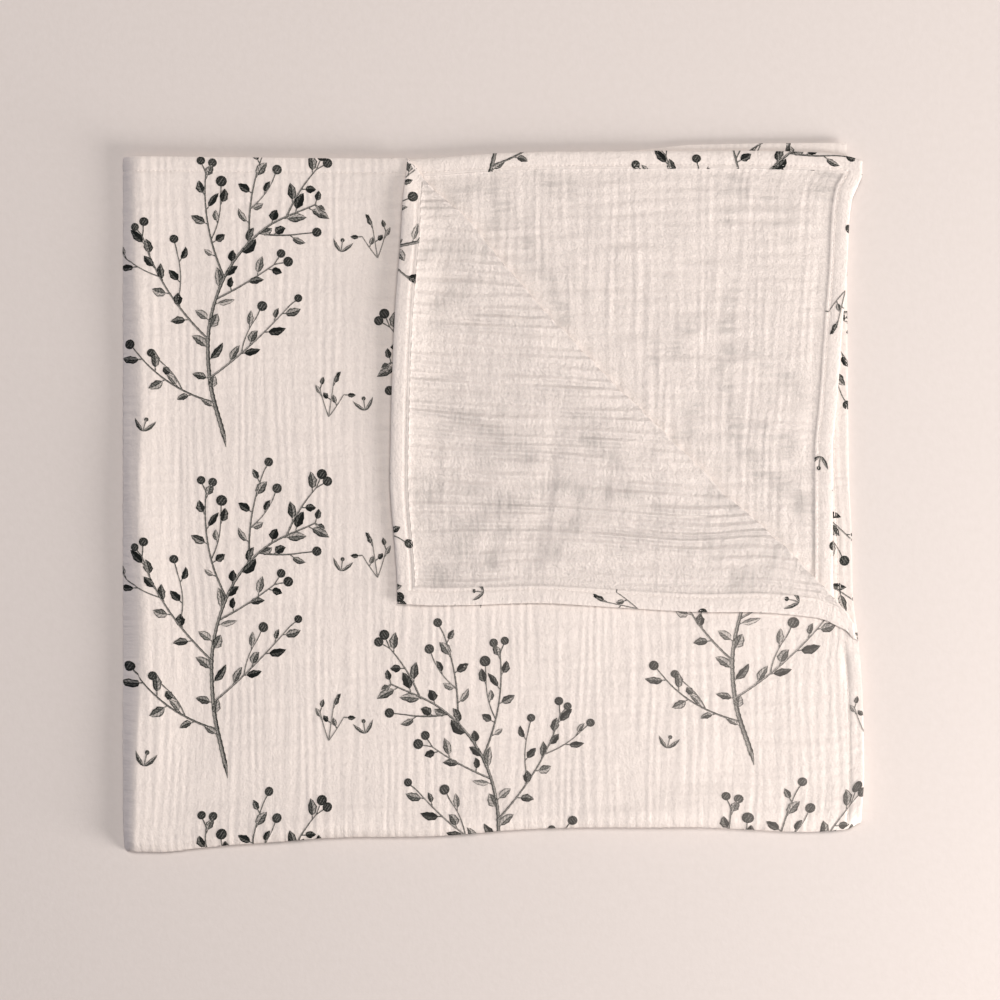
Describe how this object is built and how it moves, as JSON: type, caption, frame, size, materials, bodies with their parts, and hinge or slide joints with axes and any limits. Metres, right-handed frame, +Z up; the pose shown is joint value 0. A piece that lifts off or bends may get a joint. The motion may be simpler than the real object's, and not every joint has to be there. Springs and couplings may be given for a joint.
{
  "type": "folded swaddle blanket",
  "caption": "Large muslin baby blanket folded flat in quarters, hemmed, botanical print, with the top corner turned back over itself.",
  "frame": {"origin": "middle of the underside of the folded blanket, on the surface it lies on", "axes": "+Z up through the layers, +X from the left fold to the right hems, +Y from the bottom fold to the top hems"},
  "size_m": [0.6054, 0.5794, 0.02],
  "materials": {
    "printed_gauze": "crinkled warm white cotton double gauze, matt, with a charcoal botanical print on one side"
  },
  "bodies": {
    "root": {"swaddle_blanket": "printed_gauze"}
  },
  "joints": []
}
